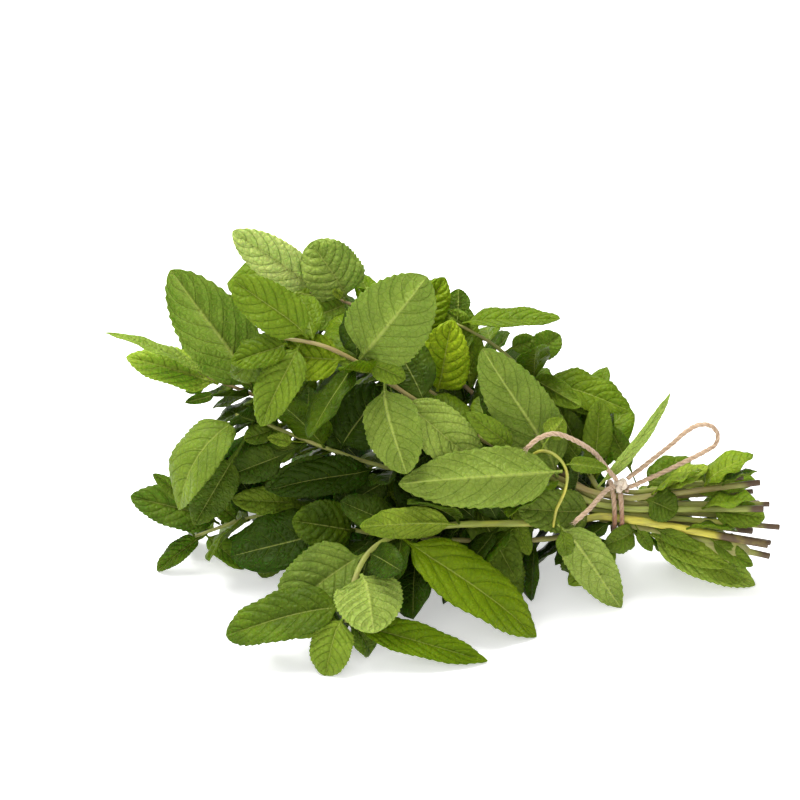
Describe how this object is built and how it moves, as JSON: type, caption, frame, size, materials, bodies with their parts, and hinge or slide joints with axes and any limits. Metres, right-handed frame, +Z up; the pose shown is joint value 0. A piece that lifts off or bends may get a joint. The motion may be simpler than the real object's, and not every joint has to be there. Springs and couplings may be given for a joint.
{
  "type": "tied mint bunch",
  "caption": "Fresh mint sprigs with broad toothed leaves, tied near their cut ends with a jute twine bow and lying on their side",
  "frame": {"origin": "centre of the bunch's box, on the surface it lies on", "axes": "+X towards the cut ends, -X towards the leafy tips, -Y towards the side with the knot, +Z up"},
  "size_m": [0.2896, 0.1616, 0.1505],
  "materials": {
    "leaf": "fresh mint leaf, softly glossy above and matt below",
    "stem": "fresh green to reddish brown square stem",
    "twine": "natural jute twine"
  },
  "bodies": {
    "root": {"back_high_leaf_1": "leaf", "back_high_leaf_2": "leaf", "back_high_stem": "stem", "back_low_leaf_1": "leaf", "back_low_leaf_2": "leaf", "back_low_leaf_3": "leaf", "back_low_stem": "stem", "far_left_leaf_1": "leaf", "far_left_leaf_2": "leaf", "far_left_leaf_3": "leaf", "far_left_stem": "stem", "front_high_leaf_1": "leaf", "front_high_leaf_2": "leaf", "front_high_stem": "stem", "front_leaf_1": "leaf", "front_leaf_2": "leaf", "front_leaf_3": "leaf", "front_leaf_4": "leaf", "front_leaf_5": "leaf", "front_leaf_6": "leaf", "front_low_leaf_1": "leaf", "front_low_leaf_2": "leaf", "front_low_leaf_3": "leaf", "front_low_leaf_4": "leaf", "front_low_stem": "stem", "front_stem": "stem", "high_front_leaf_1": "leaf", "high_front_leaf_2": "leaf", "high_front_leaf_3": "leaf", "high_front_leaf_4": "leaf", "high_front_leaf_5": "leaf", "high_front_leaf_6": "leaf", "high_front_leaf_7": "leaf", "high_front_leaf_8": "leaf", "high_front_stem": "stem", "low_left_leaf_1": "leaf", "low_left_leaf_2": "leaf", "low_left_leaf_3": "leaf", "low_left_stem": "stem", "mid_top_leaf_1": "leaf", "mid_top_stem": "stem", "middle_leaf_1": "leaf", "middle_leaf_2": "leaf", "middle_leaf_3": "leaf", "middle_stem": "stem", "side_shoot": "stem", "side_shoot_leaf_1": "leaf", "side_shoot_leaf_2": "leaf", "top_back_leaf_1": "leaf", "top_back_leaf_2": "leaf", "top_back_leaf_3": "leaf", "top_back_stem": "stem", "twine_binding": "twine", "twine_knot": "twine", "twine_loop": "twine", "twine_tail_long": "twine", "twine_tail_short": "twine", "upright_leaf_1": "leaf", "upright_leaf_2": "leaf", "upright_stem": "stem"}
  },
  "joints": []
}
